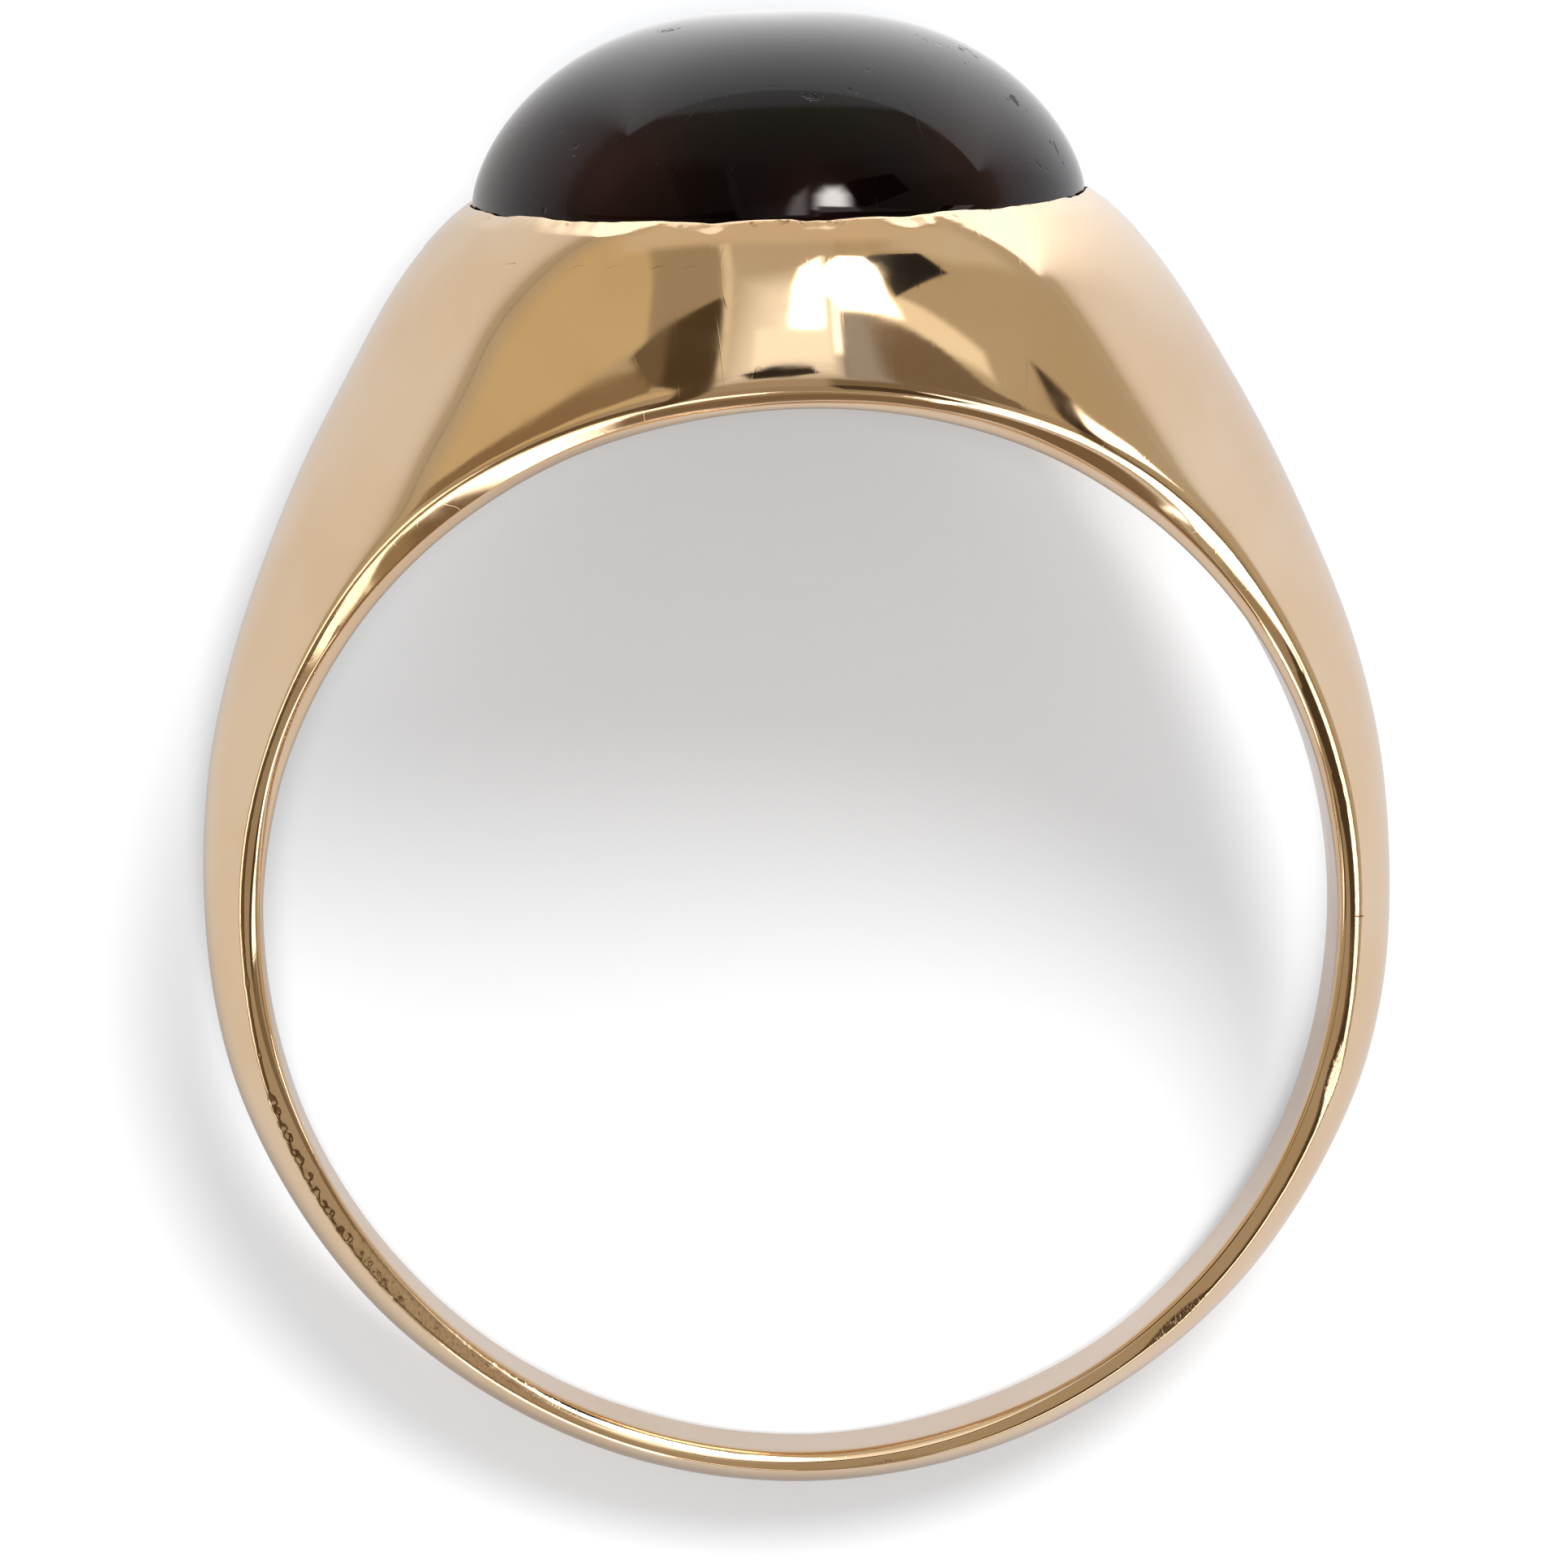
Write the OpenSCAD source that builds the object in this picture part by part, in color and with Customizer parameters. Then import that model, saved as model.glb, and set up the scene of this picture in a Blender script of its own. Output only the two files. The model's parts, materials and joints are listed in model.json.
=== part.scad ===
// Flush-set ring: a gold hoop that swells into a domed head, with an oval cabochon sunk in it.
// Shape frame: the finger hole runs along Z, the stone looks along +Y, X goes across the hand.
// The finished ring lies on its side, so the whole shape is tilted about X as it rests.

/* [Hoop] */
// Inside diameter of the hoop
finger_d = 18; // [17.2:0.1:18.4]
// Gold between the hole and the outside, at the back of the hoop
back_thickness = 0.66; // [0.5:0.02:0.8]

/* [Head] */
// Height of the setting rim above the centre of the finger hole
rim_height = 12.1; // [11.9:0.05:12.2]
// Height at which the crown of the head would close if no stone were set in it
crown_height = 13.7; // [13.5:0.1:14]

/* [Stone] */
// Width of the stone across the hand
stone_w = 10.26; // [9.6:0.02:10.3]
// Length of the stone along the finger
stone_l = 11.94; // [11:0.02:11.98]
// Height of the dome above the setting rim
dome_h = 3.08; // [2:0.02:4]
// Depth of stone that is hidden below the setting rim
sunk_depth = 1.3; // [0.8:0.05:1.8]
// Gap between the stone and its seat
seat_gap = 0.03; // [0.02:0.01:0.06]

/* [Finish] */
// Rounding of the outer edge on the thin part of the hoop
hoop_edge = 0.03; // [0.02:0.01:0.06]
// Rounding that is added to that edge on the shoulders
shoulder_edge = 0.1; // [0.05:0.01:0.14]

/* [Smoothness] */
// Sections around the hoop
sections = 88; // [60:4:100]
// Steps along each half of a section
half_steps = 13; // [9:1:16]

/* [Hidden] */

// Columns of the shape table, in millimetres apart from the ratio
HEIGHT = 0;
HALF_WIDTH = 1;
LENGTH_RATIO = 2;
SIDE_HALF = 3;
FULLNESS = 4;

// One row per level above the centre of the hole: the half width of the outline,
// the outline's half length along the finger as a share of that, and how far out the filed side is
LEVELS = [
    [-9, 3.56, 0.474, 1.15],
    [-7, 6.78, 0.474, 1.18],
    [-5, 8.44, 0.474, 1.24],
    [-3, 9.44, 0.474, 1.34],
    [-1, 9.90, 0.476, 1.50],
    [1, 9.98, 0.500, 1.76],
    [3, 9.80, 0.585, 2.35],
    [5, 9.28, 0.700, 3.22],
    [6.5, 8.70, 0.810, 4.15],
    [8, 8.02, 0.905, 5.50],
    [9.5, 7.21, 0.993, 7.40],
    [11, 6.28, 1.080, 9.60],
    [12.1, 5.21, 1.160, 11.40]
];

finger_r = finger_d / 2;
back_height = -finger_r - back_thickness;
last_row = len(LEVELS) - 1;

// The outline squared, over the product of the distances to its two ends, changes gently with height
SHAPE = [
    for (row = LEVELS)
        concat(row, [row[HALF_WIDTH] ^ 2 / ((row[HEIGHT] - back_height) * (crown_height - row[HEIGHT]))])
];

// The section rays start this far inside the hole's wall, so that the bore cuts a clean edge
inner_margin = 0.6;
base_r = finger_r - inner_margin;
ray_reach = 12;
ray_halvings = 22;
ray_crowding = 1.6;

// Where the edge rounding grows from the hoop's to the shoulder's
edge_change_height = 6;
edge_change_length = 1.2;

// Curve of the dome: how flat its top is and how full its flank is
dome_top_power = 2.5;
dome_flank_power = 1.29;
dome_steps = 14;
oval_steps = 56;
girdle_bevel = 0.35;

cut_margin = 1;
round_fn = 96;
gold_colour = [0.87, 0.68, 0.41];
garnet_colour = [0.27, 0.05, 0.07];

// The row of the table at or below a height, short of the last
function row_below(h) = max([0, for (i = [0:last_row - 1]) if (SHAPE[i][HEIGHT] <= h) i]);

function row_slope(c, i) =
    let (a = max(i - 1, 0), b = min(i + 1, last_row))
    (SHAPE[b][c] - SHAPE[a][c]) / (SHAPE[b][HEIGHT] - SHAPE[a][HEIGHT]);

// A smooth curve through one column of the table, level beyond its ends
function at_height(c, h) =
    let (
        level = min(max(h, SHAPE[0][HEIGHT]), SHAPE[last_row][HEIGHT]),
        i = row_below(level),
        step = SHAPE[i + 1][HEIGHT] - SHAPE[i][HEIGHT],
        t = (level - SHAPE[i][HEIGHT]) / step
    )
    (1 + 2 * t) * (1 - t) ^ 2 * SHAPE[i][c]
    + t * (1 - t) ^ 2 * step * row_slope(c, i)
    + t ^ 2 * (3 - 2 * t) * SHAPE[i + 1][c]
    + t ^ 2 * (t - 1) * step * row_slope(c, i + 1);

function half_width(h) =
    sqrt(max(at_height(FULLNESS, h) * (h - back_height) * (crown_height - h), 0));

function edge_radius(h) =
    hoop_edge + shoulder_edge / (1 + exp((edge_change_height - h) / edge_change_length));

// The larger of two distances, with the corner between them rounded
function rounded_max(a, b, radius) =
    let (m = max(a, b))
    m + radius * ln(exp((a - m) / radius) + exp((b - m) / radius));

// How far a point is outside the gold: beyond the domed outline or beyond the filed side
function outside_by(p) =
    let (
        outline = norm([p.x, p.z / at_height(LENGTH_RATIO, p.y)]) - half_width(p.y),
        side = abs(p.z) - at_height(SIDE_HALF, p.y)
    )
    rounded_max(outline, side, edge_radius(p.y));

function on_ray(around, up, reach) =
    let (r = base_r + reach * cos(up))
    [r * cos(around), r * sin(around), reach * sin(up)];

// The surface point on a ray, found by halving the stretch that holds it
function surface_point(around, up, near = 0, far = ray_reach, left = ray_halvings) =
    let (mid = (near + far) / 2)
    left == 0 ? on_ray(around, up, mid)
    : outside_by(on_ray(around, up, mid)) >= 0 ? surface_point(around, up, near, mid, left - 1)
    : surface_point(around, up, mid, far, left - 1);

// Ray angles crowd towards the sides of the ring, where the edges are
function ray_angle(j) =
    let (s = j / half_steps)
    sign(s) * 90 * (1 - (1 - abs(s)) ^ ray_crowding);

function section(around) = [for (j = [-half_steps:half_steps]) surface_point(around, ray_angle(j))];

SECTIONS = [for (i = [0:sections - 1]) section(i * 360 / sections - 90)];
ring_steps = 2 * half_steps + 1;

// Half outline of the stone: flat back with a bevel, upright girdle, and the dome up to its last step
function stone_outline() =
    let (r = stone_l / 2)
    concat(
        [[r - girdle_bevel, -sunk_depth], [r, girdle_bevel - sunk_depth]],
        [
            for (i = [0:dome_steps - 1])
                let (a = 90 * i / dome_steps)
                [r * cos(a) ^ (2 / dome_top_power), dome_h * sin(a) ^ dome_flank_power]
        ]
    );

// The two points that the ring rests on, both in the plane that halves it: the hoop's far edge
// at the back, and the widest place of the head
back_contact = [-(finger_r + back_thickness / 2), -at_height(SIDE_HALF, back_height)];
head_points = [for (s = SECTIONS) for (p = s) if (p.y > finger_r && p.y < rim_height && p.z < 0) p];
rest_tilt = max([for (p = head_points) atan2(back_contact.y - p.z, p.y - back_contact.x)]);

function tilted(p) =
    [p.x, p.y * cos(rest_tilt) - p.z * sin(rest_tilt), p.y * sin(rest_tilt) + p.z * cos(rest_tilt)];

stone_ends = [
    for (p = concat(stone_outline(), [[0, dome_h]]))
        each [[0, rim_height + p.y, p.x], [0, rim_height + p.y, -p.x]]
];
back_points = [for (s = SECTIONS) for (p = s) if (p.y < 0 && norm([p.x, p.y]) > finger_r) p];
rest_height = -min([for (p = concat(head_points, back_points)) tilted(p).z]);
front_reach = max([for (p = stone_ends) tilted(p).y]);
back_reach = min([for (p = back_points) tilted(p).y]);

// Lays the ring on its side, with the middle of its outline over the origin
module at_rest() {
    translate([0, -(front_reach + back_reach) / 2, rest_height])
        rotate([rest_tilt, 0, 0])
            children();
}

// The domed outline and the filed sides, solid from just inside the hole's wall outwards
module outer_form() {
    corners = [for (s = SECTIONS) for (p = s) p];
    skin = [
        for (i = [0:sections - 1])
            for (j = [0:ring_steps - 1])
                let (
                    here = i * ring_steps,
                    next = ((i + 1) % sections) * ring_steps,
                    k = (j + 1) % ring_steps
                )
                each [
                    [here + j, next + k, here + k],
                    [here + j, next + j, next + k]
                ]
    ];
    polyhedron(points = corners, faces = skin, convexity = 6);
}

// An upright oval block above a level of the shape frame, for the stone's seat
module oval_prism(width, length, from_y, height) {
    translate([0, from_y, 0])
        rotate([-90, 0, 0])
            scale([width / length, 1, 1])
                cylinder(h = height, d = length, $fn = round_fn);
}

module ring_body() {
    color(gold_colour)
        at_rest()
            difference() {
                outer_form();
                cylinder(h = 4 * finger_r, r = finger_r, center = true, $fn = round_fn);
                oval_prism(
                    stone_w + 2 * seat_gap,
                    stone_l + 2 * seat_gap,
                    rim_height - sunk_depth - seat_gap,
                    sunk_depth + crown_height
                );
                translate([-finger_r, rim_height, -finger_r])
                    cube([2 * finger_r, crown_height, 2 * finger_r]);
            }
}

// An oval solid turned from a half outline of [radius, height], with a flat foot and a pointed top
module oval_turned(outline, top_height, squash) {
    rows = len(outline);
    corners = [
        for (p = outline)
            for (k = [0:oval_steps - 1])
                let (a = 360 * k / oval_steps)
                [squash * p.x * cos(a), p.x * sin(a), p.y]
    ];
    foot = [for (k = [0:oval_steps - 1]) k];
    flank = [
        for (i = [0:rows - 2])
            for (k = [0:oval_steps - 1])
                let (here = i * oval_steps, above = here + oval_steps, next = (k + 1) % oval_steps)
                each [
                    [here + k, above + k, above + next],
                    [here + k, above + next, here + next]
                ]
    ];
    top = [
        for (k = [0:oval_steps - 1])
            let (last = (rows - 1) * oval_steps)
            [last + k, rows * oval_steps, last + (k + 1) % oval_steps]
    ];
    polyhedron(points = concat(corners, [[0, 0, top_height]]), faces = concat([foot], flank, top));
}

module garnet() {
    color(garnet_colour)
        at_rest()
            translate([0, rim_height, 0])
                rotate([-90, 0, 0])
                    oval_turned(stone_outline(), dome_h, stone_w / stone_l);
}

ring_body();
garnet();
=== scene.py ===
import json
import math

import bmesh
import bpy
import numpy as np
from mathutils import Matrix, Vector


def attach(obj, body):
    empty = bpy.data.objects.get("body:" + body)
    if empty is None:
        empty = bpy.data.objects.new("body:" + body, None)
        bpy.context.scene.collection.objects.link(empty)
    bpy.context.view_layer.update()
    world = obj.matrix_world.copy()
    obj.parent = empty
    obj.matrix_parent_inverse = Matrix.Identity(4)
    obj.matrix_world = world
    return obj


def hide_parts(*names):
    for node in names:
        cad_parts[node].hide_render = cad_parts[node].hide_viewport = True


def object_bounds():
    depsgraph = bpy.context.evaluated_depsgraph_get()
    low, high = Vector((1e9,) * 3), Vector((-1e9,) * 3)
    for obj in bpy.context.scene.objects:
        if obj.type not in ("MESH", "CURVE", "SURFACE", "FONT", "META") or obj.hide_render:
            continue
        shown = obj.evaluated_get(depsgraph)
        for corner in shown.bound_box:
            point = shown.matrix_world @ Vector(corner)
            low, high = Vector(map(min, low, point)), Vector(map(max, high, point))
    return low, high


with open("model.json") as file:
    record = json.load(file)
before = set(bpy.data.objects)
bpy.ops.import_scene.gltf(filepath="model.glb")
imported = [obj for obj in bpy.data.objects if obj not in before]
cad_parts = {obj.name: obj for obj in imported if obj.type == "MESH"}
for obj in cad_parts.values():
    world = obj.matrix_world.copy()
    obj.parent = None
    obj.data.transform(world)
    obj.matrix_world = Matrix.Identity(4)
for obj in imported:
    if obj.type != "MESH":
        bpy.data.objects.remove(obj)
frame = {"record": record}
cad_low, cad_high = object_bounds()

MM = 0.001

# The ring in its shape frame, in millimetres: the finger hole runs along Z, the stone looks along Y.
# Each level has its height, the outline's half width and relative length, and the filed side's distance.
FINGER_R = 9.0
BACK_HEIGHT = -9.66
CROWN_HEIGHT = 13.7
RIM_HEIGHT = 12.1
HEIGHT, HALF_WIDTH, LENGTH_RATIO, SIDE_HALF = range(4)
LEVELS = np.array([
    [-9, 3.56, 0.455, 1.15],
    [-7, 6.78, 0.431, 1.18],
    [-5, 8.44, 0.426, 1.24],
    [-3, 9.44, 0.430, 1.34],
    [-1, 9.90, 0.445, 1.50],
    [1, 9.98, 0.502, 1.76],
    [3, 9.80, 0.585, 2.35],
    [5, 9.28, 0.700, 3.22],
    [6.5, 8.70, 0.810, 4.15],
    [8, 8.02, 0.905, 5.50],
    [9.5, 7.21, 0.993, 7.40],
    [11, 6.28, 1.080, 9.60],
    [12.1, 5.21, 1.160, 11.40],
])

# Rounding where the filed side meets the domed outside, by the turn round the hole from +X
OUTER_EDGES = [
    (0, 0.055), (12, 0.075), (27, 0.09), (45, 0.12), (60, 0.11), (75, 0.10), (105, 0.10), (120, 0.07),
    (138, 0.05), (152, 0.035), (175, 0.03), (270, 0.03), (335, 0.03), (348, 0.04),
]

# How wide the filed side turns down towards the hole, by the same turn, and how steeply at the wall
INNER_BEVELS = [
    (0, 0.15), (20, 0.19), (40, 0.22), (60, 0.27), (75, 0.24), (90, 0.14), (104, 0.18), (117, 0.22),
    (130, 0.23), (145, 0.27), (158, 0.29), (173, 0.25), (187, 0.26), (201, 0.14), (217, 0.09),
    (231, 0.17), (244, 0.29), (258, 0.28), (270, 0.24), (286, 0.20), (300, 0.13), (320, 0.11),
    (345, 0.12),
]

# How much of that width the bevel takes to reach its full slope: all of it where it is round
BEVEL_KNEES = [
    (0, 0.6), (10, 0.4), (45, 0.4), (70, 0.8), (95, 0.7), (112, 0.35), (150, 0.3), (163, 0.4),
    (178, 0.9), (190, 1.0), (270, 1.0), (330, 1.0),
]
BEVEL_SLOPE = 0.85
FLAT_BEVEL_SLOPE = 0.25
BEVEL_KNEE_LIMITS = (0.25, 1.0)
BEVEL_INNER_END = -0.1
BORE_EDGE = 0.04

# The hoop's filed side is a little crowned, up to where it widens into the shoulders
CROWN_RATE = 0.25
CROWN_MIDDLE = 0.22
CROWN_END_HEIGHTS = (1.0, 4.0)

# The stone and its seat
STONE_W = 10.26
STONE_L = 11.94
STONE_SUNK = 1.3
DOME_H = 3.08
DOME_TOP_POWER = 2.5
DOME_FLANK_POWER = 1.29
LONG_FLANK_EXTRA = 0.22
SEAT_GAP = 0.03

# How finely the gold is meshed. Dense turns have closer sections: start, full from, full to, end, how much.
SECTIONS = 540
DENSE_TURNS = [(-64, -56, -10, -4, 1.3), (188, 194, 226, 246, 0.9), (-98, -94, -78, -70, 0.5)]
SECTION_POINTS = 164
FAN_POINTS = 320
TURN_STEPS = 7200
SIDE_CROWDING = 0.48
BEND_WEIGHT = 0.07
RAY_HALVINGS = 20
RAY_REACH = 12.0
RAY_BASE_R = 9.33
HEAD_CUT = 11.4
HEAD_COLUMNS = 384


def spline_slopes(x, y):
    """Second derivatives of the natural cubic curve through the points."""
    n = len(x)
    step = np.diff(x)
    m, rhs = np.zeros((n, n)), np.zeros(n)
    m[0, 0] = m[-1, -1] = 1
    for i in range(1, n - 1):
        m[i, i - 1 : i + 2] = step[i - 1], 2 * (step[i - 1] + step[i]), step[i]
        rhs[i] = 6 * ((y[i + 1] - y[i]) / step[i] - (y[i] - y[i - 1]) / step[i - 1])
    return np.linalg.solve(m, rhs)


class Column:
    """A smooth curve through one column of a table, level beyond its ends."""

    def __init__(self, x, y):
        self.x, self.y, self.bend = x, y, spline_slopes(x, y)

    def __call__(self, at):
        q = np.clip(at, self.x[0], self.x[-1])
        i = np.clip(np.searchsorted(self.x, q) - 1, 0, len(self.x) - 2)
        h = self.x[i + 1] - self.x[i]
        a, b = self.x[i + 1] - q, q - self.x[i]
        return (
            (self.bend[i] * a**3 + self.bend[i + 1] * b**3) / (6 * h)
            + (self.y[i] / h - self.bend[i] * h / 6) * a
            + (self.y[i + 1] / h - self.bend[i + 1] * h / 6) * b
        )


levels = LEVELS[:, HEIGHT]
fullness = Column(levels, LEVELS[:, HALF_WIDTH] ** 2 / ((levels - BACK_HEIGHT) * (CROWN_HEIGHT - levels)))
length_ratio = Column(levels, LEVELS[:, LENGTH_RATIO])
side_half = Column(levels, LEVELS[:, SIDE_HALF])


def half_width(y):
    return np.sqrt(np.maximum(fullness(y) * (y - BACK_HEIGHT) * (CROWN_HEIGHT - y), 0))


def rounded_max(a, b, radius):
    """The larger of two distances, with the corner between them rounded."""
    top = np.maximum(a, b)
    return top + radius * np.log(np.exp((a - top) / radius) + np.exp((b - top) / radius))


def falling(distance, reach):
    """1 at no distance, and less with more of it."""
    return np.exp(-((distance / reach) ** 2))


def smooth_share(value, low, high):
    """From 0 at low to 1 at high, with level ends."""
    t = np.clip((value - low) / (high - low), 0, 1)
    return t * t * (3 - 2 * t)


def between(value, start, full, last, end):
    """0 outside start and end, 1 from full to last."""
    return smooth_share(value, start, full) * (1 - smooth_share(value, last, end))


def round_table(rows):
    """A smooth closed curve through values by turn, as one value for each half degree."""
    turns, values = np.array(rows, float).T
    turns = np.concatenate([turns - 360, turns, turns + 360])
    return Column(turns, np.tile(values, 3))(TURNS)


TURNS = np.arange(-180, 180.25, 0.5)
outer_edges = round_table(OUTER_EDGES)
inner_bevels = round_table(INNER_BEVELS)
bevel_knees = np.clip(round_table(BEVEL_KNEES), *BEVEL_KNEE_LIMITS)


def turn_of(p):
    """Turn round the finger hole from +X, in degrees from -180 to 180."""
    return np.degrees(np.arctan2(p[..., 1], p[..., 0]))


def gold_fields(p):
    """How far points are beyond the domed outline, the filed side and the hole's wall."""
    x, y, z = p[..., 0], p[..., 1], p[..., 2]
    from_axis = np.hypot(x, y)
    outline = np.hypot(x, z / length_ratio(y)) - half_width(y)
    inwards = from_axis - FINGER_R
    crown = CROWN_RATE * (inwards - CROWN_MIDDLE) ** 2 * (1 - smooth_share(y, *CROWN_END_HEIGHTS))
    bevel, knee = (np.interp(turn_of(p), TURNS, table) for table in (inner_bevels, bevel_knees))
    slope = BEVEL_SLOPE + FLAT_BEVEL_SLOPE * (1 - knee)
    into = np.maximum(bevel - np.maximum(inwards, BEVEL_INNER_END), 0)
    bend = np.minimum(into, knee * bevel)
    crown = crown + slope * (bend**2 / (2 * knee * bevel) + into - bend)
    return outline, np.abs(z) - side_half(y) + crown, FINGER_R - from_axis


def outside_gold(p):
    """How far points are outside the gold, before any wear."""
    outline, side, hole = gold_fields(p)
    outer = rounded_max(outline, side, np.interp(turn_of(p), TURNS, outer_edges))
    return rounded_max(outer, hole, BORE_EDGE)


def gradient(field, p, step=0.002):
    """Direction in which a field grows fastest, as unit vectors."""
    g = np.stack([field(p + step * e) - field(p - step * e) for e in np.eye(3)], -1)
    return g / np.linalg.norm(g, axis=-1, keepdims=True)


def waves(seed, count, length):
    """A smooth field of about unit height, from seeded waves of about one length."""
    draw = np.random.default_rng(seed)
    drawn = draw.normal(size=(count, 3))
    rate = 2 * math.pi / length * draw.uniform(0.7, 1.3, (count, 1))
    along = drawn * (rate / np.linalg.norm(drawn, axis=1, keepdims=True))
    start = draw.uniform(0, 2 * math.pi, count)
    return lambda p: np.sin(p @ along.T + start).sum(-1) * math.sqrt(2 / count)


# Unevenness left by hand polishing: wave length and height
POLISH_WAVES = [(waves(11, 20, 5.0), 0.009), (waves(12, 24, 1.9), 0.0016)]


def crease_point(y, side):
    """Where the domed outside meets the near filed side, at a height, on the left (-1) or right (1)."""
    z = float(side_half(y))
    reach = float(half_width(y)) ** 2 - (z / float(length_ratio(y))) ** 2
    return np.array([side * math.sqrt(max(reach, 0)), y, z])


CREASE_R = 9.4


def crease_at(turn):
    """The near crease at a turn round the hole, in degrees."""
    side = math.copysign(1, math.cos(math.radians(turn)))
    y = CREASE_R * math.sin(math.radians(turn))
    for _ in range(4):
        at = crease_point(y, side)
        y = float(np.hypot(*at[:2])) * math.sin(math.radians(turn))
    return crease_point(y, side)


# Runs of small dents along the near crease: first and last turn, how many, least and greatest distance in
# from it, radius, and least and greatest depth. A negative depth is a raised burr.
DENTED = [
    (176, 193, 7, 0.00, 0.03, 0.035, 0.002, 0.006),
    (196, 222, 17, 0.03, 0.08, 0.065, 0.02, 0.03),
    (193, 200, 4, -0.02, 0.02, 0.03, -0.014, -0.008),
    (222, 242, 26, 0.05, 0.20, 0.05, 0.002, 0.006),
    (205, 222, 14, 0.10, 0.26, 0.05, 0.002, 0.005),
    (8, 28, 24, 0.09, 0.17, 0.04, 0.003, 0.009),
]

# Small flats that a file has left on the near crease: turn, depth, how hollow they are along it, and lean
FILED_FLATS = [(-18.6, 0.052, 0.048, 0.37), (-49.2, 0.044, 0.040, 0.28), (-83.0, 0.020, 0.010, 0.30)]


def nicks():
    """Small dents and burrs in the gold, as centre, radius and depth."""
    draw = np.random.default_rng(5)
    marks = []
    for first, last, count, start, end, radius, shallow, deep in DENTED:
        step = (last - first) / count
        for k in range(count):
            at = crease_at(first + (k + draw.uniform(0.2, 0.8)) * step)
            inwards = 1 - draw.uniform(start, end) / CREASE_R
            size = radius * draw.uniform(0.8, 1.25)
            marks.append((at * np.array([inwards, inwards, 1]), size, draw.uniform(shallow, deep)))
    return marks


def filed_flats():
    """Each flat on the crease: its middle, its outward direction, the way along it and how hollow it is."""
    flats = []
    for turn, depth, hollow, lean in FILED_FLATS:
        at = crease_at(turn)
        along = crease_at(turn + 1) - crease_at(turn - 1)
        along /= np.linalg.norm(along)
        out = lean * np.array([at[0], at[1], 0]) / np.hypot(at[0], at[1]) + np.array([0, 0, 1.0])
        out -= (out @ along) * along
        out /= np.linalg.norm(out)
        flats.append((at - depth * out, out, along, hollow))
    return flats


def beyond_flat(p, flat):
    """How far points are outside a filed flat."""
    middle, out, along, hollow = flat
    return (p - middle) @ out - hollow * ((p - middle) @ along) ** 2


NICKS = nicks()
FLATS = filed_flats()
FLAT_EDGE, FLAT_SIZE_SQUARED, NICK_REACH = 0.008, 2, 3.5


def closeness(points, centre, reach):
    """1 at a centre, and less with distance from it."""
    return np.exp(-((points - centre) ** 2).sum(-1) / reach**2)


def outside_worn_gold(p):
    """How far points are outside the gold, with its unevenness and its nicks."""
    field = outside_gold(p)
    for wave, height in POLISH_WAVES:
        field = field - height * (wave(p) - 1)
    for flat in FLATS:
        close = np.flatnonzero(((p - flat[0]) ** 2).sum(-1) < FLAT_SIZE_SQUARED)
        field[close] = rounded_max(field[close], beyond_flat(p[close], flat), FLAT_EDGE)
    for centre, radius, depth in NICKS:
        close = np.flatnonzero(np.abs(p[..., 1] - centre[1]) < NICK_REACH * radius)
        close = close[np.abs(p[close, 0] - centre[0]) < NICK_REACH * radius]
        field[close] += depth * closeness(p[close], centre, radius)
    return field


def onto_surface(field, p, rounds=2, step=0.002):
    """Points moved straight out or in, until they lie where a field is zero."""
    for _ in range(rounds):
        slope = np.stack([field(p + step * e) - field(p - step * e) for e in np.eye(3)], -1) / (2 * step)
        p = p - slope * (field(p) / (slope**2).sum(-1))[..., None]
    return p


def on_ray(around, up, reach):
    r = RAY_BASE_R + reach * np.cos(up)
    return np.stack([r * np.cos(around), r * np.sin(around), reach * np.sin(up)], -1)


def gold_on_rays(around, up):
    """The surface points on rays from inside the hoop, found by halving."""
    around, up = np.broadcast_arrays(around, up)
    near, far = np.zeros(up.shape), np.full(up.shape, RAY_REACH)
    for _ in range(RAY_HALVINGS):
        mid = (near + far) / 2
        outside = outside_gold(on_ray(around, up, mid)) >= 0
        near, far = np.where(outside, near, mid), np.where(outside, mid, far)
    return on_ray(around, up, (near + far) / 2)


def crowded(turn):
    """Ray angles that crowd towards the two sides of the ring, where the edges are."""
    return turn + SIDE_CROWDING * np.sin(2 * turn)


def even_turns(points, turns, count):
    """Turns that share a closed section out evenly, with more of them where it bends."""
    along = np.roll(points, -1, axis=0) - points
    length = np.linalg.norm(along, axis=1)
    unit = along / length[:, None]
    bend = np.arccos(np.clip((unit * np.roll(unit, 1, axis=0)).sum(1), -1, 1))
    weight = length + BEND_WEIGHT * length.sum() * (bend + np.roll(bend, -1)) / 2
    run = np.concatenate([[0], np.cumsum(weight)])
    wanted = np.arange(count) / count * run[-1]
    return np.interp(wanted, run, np.append(turns, 2 * math.pi))


def section_turns():
    """Where the sections lie round the hoop, closer together where it has small marks."""
    turns = np.linspace(-180, 180, TURN_STEPS + 1)
    middles = (turns[:-1] + turns[1:]) / 2
    weight = np.ones(len(middles))
    for low, full, last, end, more in DENSE_TURNS:
        for whole in (0, -360):
            weight += more * between(middles, low + whole, full + whole, last + whole, end + whole)
    run = np.concatenate([[0], np.cumsum(weight)])
    return np.radians(np.interp(np.arange(SECTIONS) / SECTIONS * run[-1], run, turns))


def gold_sections():
    """Closed sections all round the hoop, with the crown of the head still closed."""
    around = section_turns()[:, None]
    turns = np.arange(FAN_POINTS) / FAN_POINTS * 2 * math.pi
    fan = gold_on_rays(around, crowded(turns)[None, :])
    even = np.stack([even_turns(section, turns, SECTION_POINTS) for section in fan])
    return gold_on_rays(around, crowded(even))


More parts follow.
